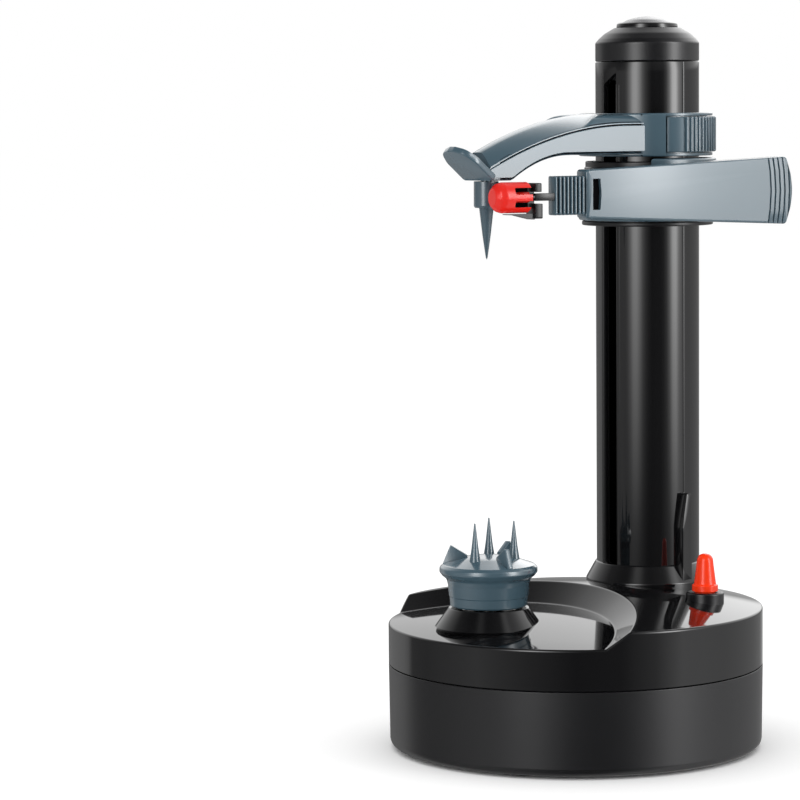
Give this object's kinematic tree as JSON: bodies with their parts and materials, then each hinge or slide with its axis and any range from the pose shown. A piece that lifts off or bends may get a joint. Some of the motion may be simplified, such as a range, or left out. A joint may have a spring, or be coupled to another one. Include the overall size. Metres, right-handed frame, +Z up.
{
  "type": "electric rotary peeler",
  "caption": "Countertop rotary peeler: a round base turns a spiked food holder while a clamp arm and a swinging blade lever travel down a slotted column.",
  "frame": {"origin": "on the table plane under the centre of the round base", "axes": "+Z up along the column, +X from the food spindle towards the column"},
  "size_m": [0.1513, 0.145, 0.2824],
  "materials": {
    "gloss_black": "glossy",
    "satin_black": "satin",
    "slate_plastic": "satin",
    "slate_light": "satin",
    "red_plastic": "glossy",
    "orange_plastic": "glossy",
    "button_silver": "satin",
    "white_nylon": "matte",
    "steel": "satin",
    "brass": "satin",
    "black_steel": "satin",
    "rubber_black": "matte",
    "cell_wrap": "satin",
    "board_green": "satin",
    "jack_black": "satin"
  },
  "bodies": {
    "base": {"lower_shell": "satin_black", "upper_shell": "gloss_black", "battery_door": "satin_black", "door_screw": "steel", "battery_cells": "cell_wrap", "battery_contacts": "steel", "rubber_feet": "rubber_black", "shell_screws": "steel", "deck_screws": "steel", "gear_deck": "satin_black", "gear_axles": "steel", "drive_motor": "steel", "control_board": "board_green", "power_jack": "jack_black", "column_base": "satin_black", "spindle_bush": "brass", "column_front_shell": "gloss_black", "column_rear_shell": "gloss_black", "column_collar": "gloss_black", "column_cap": "satin_black", "bearing_plate": "satin_black", "push_switch": "satin_black", "knife_socket": "satin_black", "swing_cam": "gloss_black"},
    "food_spindle": {"food_holder": "slate_plastic", "drive_shaft": "steel", "holder_gear": "white_nylon"},
    "idler": {"idler_gear": "white_nylon"},
    "feed_screw": {"lead_screw": "black_steel", "screw_gear": "white_nylon"},
    "compound": {"compound_gear": "white_nylon"},
    "pinion": {"motor_pinion": "brass"},
    "power_button": {"power_button": "button_silver"},
    "clamp": {"clamp_arm": "slate_plastic"},
    "release_pad": {"clamp_release": "slate_plastic"},
    "free_spike": {"top_spike": "slate_light"},
    "carriage": {"carriage_ring": "satin_black", "half_nut": "white_nylon"},
    "lever": {"cutter_lever": "slate_plastic"},
    "cartridge": {"blade_grip": "slate_plastic", "blade_rod": "steel"},
    "cutter": {"blade_head": "red_plastic", "blade_frame": "satin_black", "peeling_blade": "steel"},
    "thumb_knife": {"thumb_knife": "orange_plastic", "knife_blade": "steel"}
  },
  "joints": [
    {"name": "food_holder_spin", "type": "hinge", "parent": "base", "child": "food_spindle", "pos_m": [-0.0441, 0, 0.05], "axis": [0, 0, 1], "continuous": true},
    {"name": "idler_spin", "type": "hinge", "parent": "base", "child": "idler", "pos_m": [-0.0011, 0, 0.04], "axis": [0, 0, 1], "continuous": true},
    {"name": "feed_screw_spin", "type": "hinge", "parent": "base", "child": "feed_screw", "pos_m": [0.0274, 0, 0.04], "axis": [0, 0, 1], "continuous": true},
    {"name": "compound_spin", "type": "hinge", "parent": "base", "child": "compound", "pos_m": [-0.0011, 0.027, 0.035], "axis": [0, 0, 1], "continuous": true},
    {"name": "pinion_spin", "type": "hinge", "parent": "base", "child": "pinion", "pos_m": [-0.0011, 0.048, 0.032], "axis": [0, 0, 1], "continuous": true},
    {"name": "power_button_press", "type": "slide", "parent": "base", "child": "power_button", "axis": [0, 0, -1], "range_m": [0, 0.002], "stiffness_N_per_m": 300, "springref_m": -0.001},
    {"name": "clamp_slide", "type": "slide", "parent": "base", "child": "clamp", "axis": [0, 0, -1], "range_m": [0, 0.052]},
    {"name": "clamp_release_press", "type": "slide", "parent": "clamp", "child": "release_pad", "axis": [-1, 0, 0], "range_m": [0, 0.0008], "stiffness_N_per_m": 300, "springref_m": -0.001},
    {"name": "top_spike_spin", "type": "hinge", "parent": "clamp", "child": "free_spike", "pos_m": [-0.0441, 0, 0.215], "axis": [0, 0, 1], "continuous": true},
    {"name": "carriage_slide", "type": "slide", "parent": "clamp", "child": "carriage", "axis": [0, 0, -1], "range_m": [0, 0.05]},
    {"name": "arm_swing", "type": "hinge", "parent": "carriage", "child": "lever", "pos_m": [0.0388, 0, 0.214], "axis": [0, 0, 1], "range_deg": [0, 70], "stiffness_Nm_per_rad": 0.05, "springref_deg": -11.46},
    {"name": "blade_cartridge_pull", "type": "slide", "parent": "lever", "child": "cartridge", "axis": [-0.9722, 0.234, 0], "range_m": [0, 0.012]},
    {"name": "blade_tilt", "type": "hinge", "parent": "cartridge", "child": "cutter", "pos_m": [-0.04682, -0.01128, 0.2139], "axis": [0.9722, -0.234, 0], "range_deg": [-20, 20], "stiffness_Nm_per_rad": 0.002},
    {"name": "thumb_knife_lift", "type": "slide", "parent": "base", "child": "thumb_knife", "axis": [0, 0, 1], "range_m": [0, 0.0125]}
  ],
  "couplings": [
    {"joint": "idler_spin", "follows": "food_holder_spin", "ratio": -1.0476},
    {"joint": "feed_screw_spin", "follows": "food_holder_spin", "ratio": 2.9333},
    {"joint": "compound_spin", "follows": "food_holder_spin", "ratio": 3.6667},
    {"joint": "pinion_spin", "follows": "food_holder_spin", "ratio": -18.333}
  ]
}
